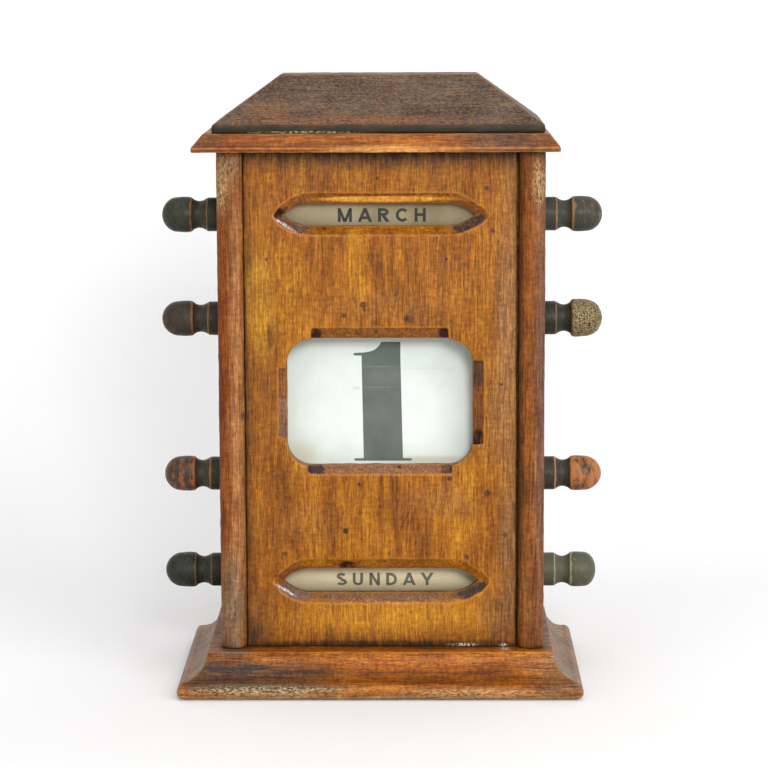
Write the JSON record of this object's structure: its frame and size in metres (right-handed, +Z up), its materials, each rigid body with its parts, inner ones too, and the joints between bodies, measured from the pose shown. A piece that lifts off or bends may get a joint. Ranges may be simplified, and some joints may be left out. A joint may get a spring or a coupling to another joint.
{
  "type": "perpetual desk calendar",
  "caption": "Wooden desk calendar case with windows for month, date and weekday, set by turned knobs at both sides that turn label drums and a linen date scroll.",
  "frame": {"origin": "middle of the underside of the base board", "axes": "+Z up, the front with the three windows faces -Y, +X to the right as seen from the front"},
  "size_m": [0.181, 0.1046, 0.25],
  "materials": {
    "stained_wood": "satin",
    "dark_wood": "satin",
    "ebonised_wood": "satin",
    "bare_wood": "matte",
    "label_paper": "matte",
    "linen": "matte",
    "brass_screws": "satin",
    "steel_screws": "satin"
  },
  "bodies": {
    "case": {"base_plinth": "stained_wood", "side_left": "stained_wood", "side_right": "stained_wood", "front_panel": "stained_wood", "back_panel": "stained_wood", "cornice_board": "stained_wood", "roof_block": "dark_wood", "date_sheet": "linen", "back_screws": "brass_screws", "base_screws": "steel_screws", "cornice_screws": "steel_screws", "roof_screws": "steel_screws"},
    "month_spindle": {"month_shaft": "bare_wood", "month_drum": "bare_wood", "month_labels": "label_paper", "month_knob_left": "ebonised_wood", "month_knob_right": "ebonised_wood"},
    "day_spindle": {"day_shaft": "bare_wood", "day_drum": "bare_wood", "day_labels": "label_paper", "day_knob_left": "ebonised_wood", "day_knob_right": "ebonised_wood"},
    "date_upper_spindle": {"date_upper_roller": "bare_wood", "date_roll_upper": "linen", "date_upper_knob_left": "ebonised_wood", "date_upper_knob_right": "ebonised_wood"},
    "date_lower_spindle": {"date_lower_roller": "bare_wood", "date_roll_lower": "linen", "date_lower_knob_left": "ebonised_wood", "date_lower_knob_right": "ebonised_wood"}
  },
  "joints": [
    {"name": "month_turn", "type": "hinge", "parent": "case", "child": "month_spindle", "pos_m": [0, -0.006, 0.1929], "axis": [-1, 0, 0], "continuous": true},
    {"name": "day_turn", "type": "hinge", "parent": "case", "child": "day_spindle", "pos_m": [0, -0.006, 0.0445], "axis": [-1, 0, 0], "continuous": true},
    {"name": "date_upper_turn", "type": "hinge", "parent": "case", "child": "date_upper_spindle", "pos_m": [0, -0.006, 0.15005], "axis": [-1, 0, 0], "range_deg": [0, 10306]},
    {"name": "date_lower_turn", "type": "hinge", "parent": "case", "child": "date_lower_spindle", "pos_m": [0, -0.006, 0.08525], "axis": [-1, 0, 0], "range_deg": [0, 10306]}
  ],
  "couplings": [
    {"joint": "date_upper_turn", "follows": "date_lower_turn", "ratio": 1}
  ]
}
